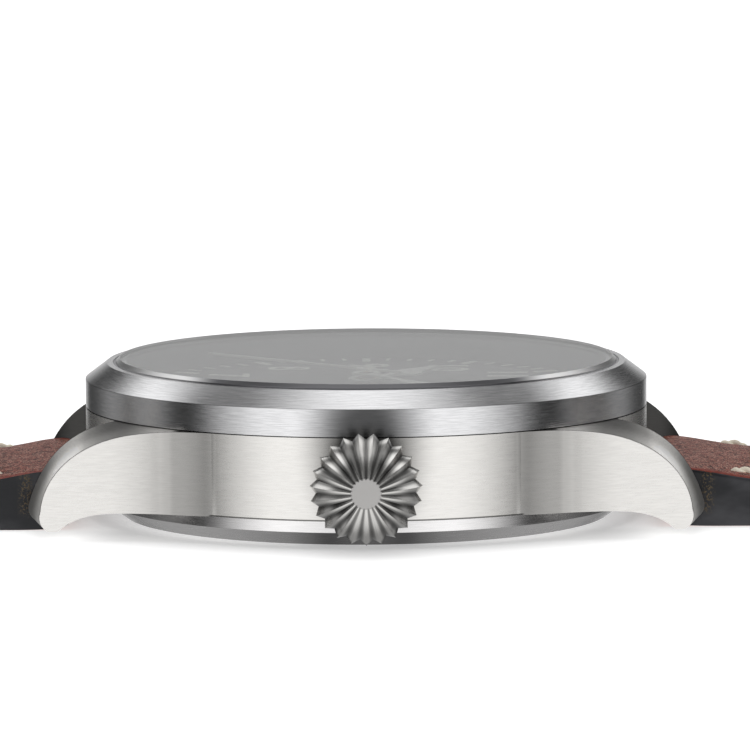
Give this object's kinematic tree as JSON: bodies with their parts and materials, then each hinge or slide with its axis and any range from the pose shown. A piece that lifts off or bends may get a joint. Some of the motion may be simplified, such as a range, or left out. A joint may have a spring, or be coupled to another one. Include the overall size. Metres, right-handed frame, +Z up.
{
  "type": "pilot watch",
  "caption": "Pilot wristwatch with a fluted onion crown, brushed round case, domed lugs, black dial and a stitched leather strap with a pin buckle.",
  "frame": {"origin": "on the watch's axis, on the flat face of the case back that it lies on", "axes": "+Z up out of the dial, +X towards 12 o'clock, -Y towards the crown at 3 o'clock"},
  "size_m": [0.2473, 0.0474, 0.0117],
  "materials": {
    "case_steel": "fine satin brushing",
    "watch_glass": "polished, anti-glare",
    "black_seal": "matt",
    "dial_black": "matt",
    "dial_print": "matt luminous print",
    "hand_paint": "satin with luminous fill",
    "plate_metal": "nickel plated, grained",
    "wheel_brass": "gilt, circular grained",
    "movement_steel": "polished",
    "screw_steel": "heat blued, polished heads",
    "jewel_ruby": "polished",
    "spring_alloy": "polished",
    "holder_metal": "satin",
    "brown_leather": "grained, waxed",
    "cream_thread": "waxed thread"
  },
  "bodies": {
    "case": {"mid_case": "case_steel", "bezel": "case_steel", "bezel_gasket": "black_seal", "crystal": "watch_glass", "crystal_gasket": "black_seal", "flange_ring": "dial_black", "case_back": "case_steel", "case_back_gasket": "black_seal", "back_crystal": "watch_glass", "back_crystal_gasket": "black_seal", "crown_tube": "case_steel", "movement_holder": "holder_metal", "case_clamps": "case_steel", "dial": "dial_black", "dial_markers": "dial_print", "main_plate": "plate_metal", "barrel_bridge": "plate_metal", "train_bridge": "plate_metal", "balance_cock": "plate_metal", "pallet_bridge": "plate_metal", "movement_screws": "screw_steel", "jewels": "jewel_ruby", "hairspring": "spring_alloy", "hairspring_stud": "movement_steel", "spring_bars": "case_steel"},
    "crown_slide": {"crown_gasket": "black_seal"},
    "crown": {"crown": "case_steel", "winding_stem": "movement_steel"},
    "winding_pinion": {"winding_pinion": "movement_steel"},
    "clutch_wheel": {"clutch_wheel": "movement_steel"},
    "crown_wheel": {"crown_wheel": "movement_steel"},
    "ratchet": {"ratchet_wheel": "movement_steel", "barrel_arbor": "movement_steel"},
    "click": {"click": "movement_steel"},
    "setting_lever": {"setting_lever": "movement_steel"},
    "barrel": {"mainspring_barrel": "wheel_brass", "mainspring": "spring_alloy"},
    "minute_group": {"centre_wheel": "wheel_brass", "cannon_pinion": "movement_steel", "minute_hand": "hand_paint"},
    "third_wheel": {"third_wheel": "wheel_brass"},
    "seconds_group": {"fourth_wheel": "wheel_brass", "seconds_hand": "hand_paint"},
    "escape_wheel": {"escape_wheel": "movement_steel"},
    "pallet_fork": {"pallet_fork": "movement_steel"},
    "balance": {"balance_wheel": "wheel_brass", "balance_staff": "movement_steel"},
    "minute_wheel": {"minute_wheel": "wheel_brass"},
    "hour_group": {"hour_wheel": "wheel_brass", "hour_hand": "hand_paint"},
    "strap_12": {"buckle_strap": "brown_leather", "buckle_stitching": "cream_thread", "fixed_keeper": "brown_leather"},
    "free_keeper": {"free_keeper": "brown_leather"},
    "buckle": {"buckle_frame": "case_steel", "buckle_bar": "case_steel"},
    "buckle_tang": {"buckle_tang": "case_steel"},
    "strap_6": {"hole_strap": "brown_leather", "hole_stitching": "cream_thread"}
  },
  "joints": [
    {"name": "crown_pull", "type": "slide", "parent": "case", "child": "crown_slide", "axis": [0, -1, 0], "range_m": [0, 0.001]},
    {"name": "crown_turn", "type": "hinge", "parent": "crown_slide", "child": "crown", "pos_m": [0, -0.02, 0.0048], "axis": [0, -1, 0], "continuous": true},
    {"name": "winding_pinion_turn", "type": "hinge", "parent": "case", "child": "winding_pinion", "pos_m": [0, -0.01174, 0.0048], "axis": [0, -1, 0], "continuous": true},
    {"name": "clutch_turn", "type": "hinge", "parent": "case", "child": "clutch_wheel", "pos_m": [0, -0.0105, 0.0048], "axis": [0, -1, 0], "continuous": true},
    {"name": "crown_wheel_turn", "type": "hinge", "parent": "case", "child": "crown_wheel", "pos_m": [0, -0.00914, 0.0026], "axis": [0, 0, 1], "continuous": true},
    {"name": "ratchet_turn", "type": "hinge", "parent": "case", "child": "ratchet", "pos_m": [0.00582, -0.00336, 0.0026], "axis": [0, 0, 1], "continuous": true},
    {"name": "click_rock", "type": "hinge", "parent": "case", "child": "click", "pos_m": [0.00749, 0.00333, 0.0026], "axis": [0, 0, -1], "range_deg": [0, 4], "stiffness_Nm_per_rad": 0.0000002},
    {"name": "setting_lever_turn", "type": "hinge", "parent": "case", "child": "setting_lever", "pos_m": [0.0026, -0.0134, 0.0072], "axis": [0, 0, 1], "range_deg": [0, 22.5]},
    {"name": "seconds_turn", "type": "hinge", "parent": "case", "child": "seconds_group", "pos_m": [0, 0, 0.005], "axis": [0, 0, -1], "continuous": true},
    {"name": "third_turn", "type": "hinge", "parent": "case", "child": "third_wheel", "pos_m": [0.00248, 0.00429, 0.004], "axis": [0, 0, -1], "continuous": true},
    {"name": "minute_turn", "type": "hinge", "parent": "case", "child": "minute_group", "pos_m": [0, 0, 0.005], "axis": [0, 0, -1], "continuous": true},
    {"name": "barrel_turn", "type": "hinge", "parent": "case", "child": "barrel", "pos_m": [0.00582, -0.00336, 0.0055], "axis": [0, 0, -1], "continuous": true},
    {"name": "escape_turn", "type": "hinge", "parent": "case", "child": "escape_wheel", "pos_m": [-0.00428, 0.00247, 0.0045], "axis": [0, 0, -1], "continuous": true},
    {"name": "minute_wheel_turn", "type": "hinge", "parent": "case", "child": "minute_wheel", "pos_m": [-0.00103, -0.00282, 0.007], "axis": [0, 0, -1], "continuous": true},
    {"name": "hour_turn", "type": "hinge", "parent": "case", "child": "hour_group", "pos_m": [0, 0, 0.0073], "axis": [0, 0, -1], "continuous": true},
    {"name": "pallet_rock", "type": "hinge", "parent": "case", "child": "pallet_fork", "pos_m": [-0.00639, 0.00079, 0.005], "axis": [0, 0, 1], "range_deg": [-5, 5]},
    {"name": "balance_swing", "type": "hinge", "parent": "case", "child": "balance", "pos_m": [-0.0095, -0.00168, 0.0042], "axis": [0, 0, 1], "range_deg": [-270, 270], "stiffness_Nm_per_rad": 0.000001},
    {"name": "strap_12_fold", "type": "hinge", "parent": "case", "child": "strap_12", "pos_m": [0.0229, 0, 0.00165], "axis": [0, 1, 0], "range_deg": [-10, 80]},
    {"name": "free_keeper_slide", "type": "slide", "parent": "strap_12", "child": "free_keeper", "axis": [1, 0, 0], "range_m": [-0.008, 0.0045]},
    {"name": "buckle_fold", "type": "hinge", "parent": "strap_12", "child": "buckle", "pos_m": [0.0979, 0, 0.0028], "axis": [0, 1, 0], "range_deg": [-30, 85]},
    {"name": "tang_fold", "type": "hinge", "parent": "buckle", "child": "buckle_tang", "pos_m": [0.0979, 0, 0.0028], "axis": [0, -1, 0], "range_deg": [0, 80]},
    {"name": "strap_6_fold", "type": "hinge", "parent": "case", "child": "strap_6", "pos_m": [-0.0229, 0, 0.00165], "axis": [0, -1, 0], "range_deg": [-10, 80]}
  ],
  "couplings": [
    {"joint": "winding_pinion_turn", "follows": "crown_turn", "ratio": 1},
    {"joint": "clutch_turn", "follows": "crown_turn", "ratio": 1},
    {"joint": "crown_wheel_turn", "follows": "crown_turn", "ratio": 0.5},
    {"joint": "ratchet_turn", "follows": "crown_turn", "ratio": -0.32},
    {"joint": "setting_lever_turn", "follows": "crown_pull", "rad_per_m": 380},
    {"joint": "third_turn", "follows": "seconds_turn", "ratio": -0.13333},
    {"joint": "minute_turn", "follows": "seconds_turn", "ratio": 0.016667},
    {"joint": "barrel_turn", "follows": "seconds_turn", "ratio": -0.0027778},
    {"joint": "escape_turn", "follows": "seconds_turn", "ratio": -12},
    {"joint": "minute_wheel_turn", "follows": "seconds_turn", "ratio": -0.0055556},
    {"joint": "hour_turn", "follows": "seconds_turn", "ratio": 0.0013889}
  ]
}
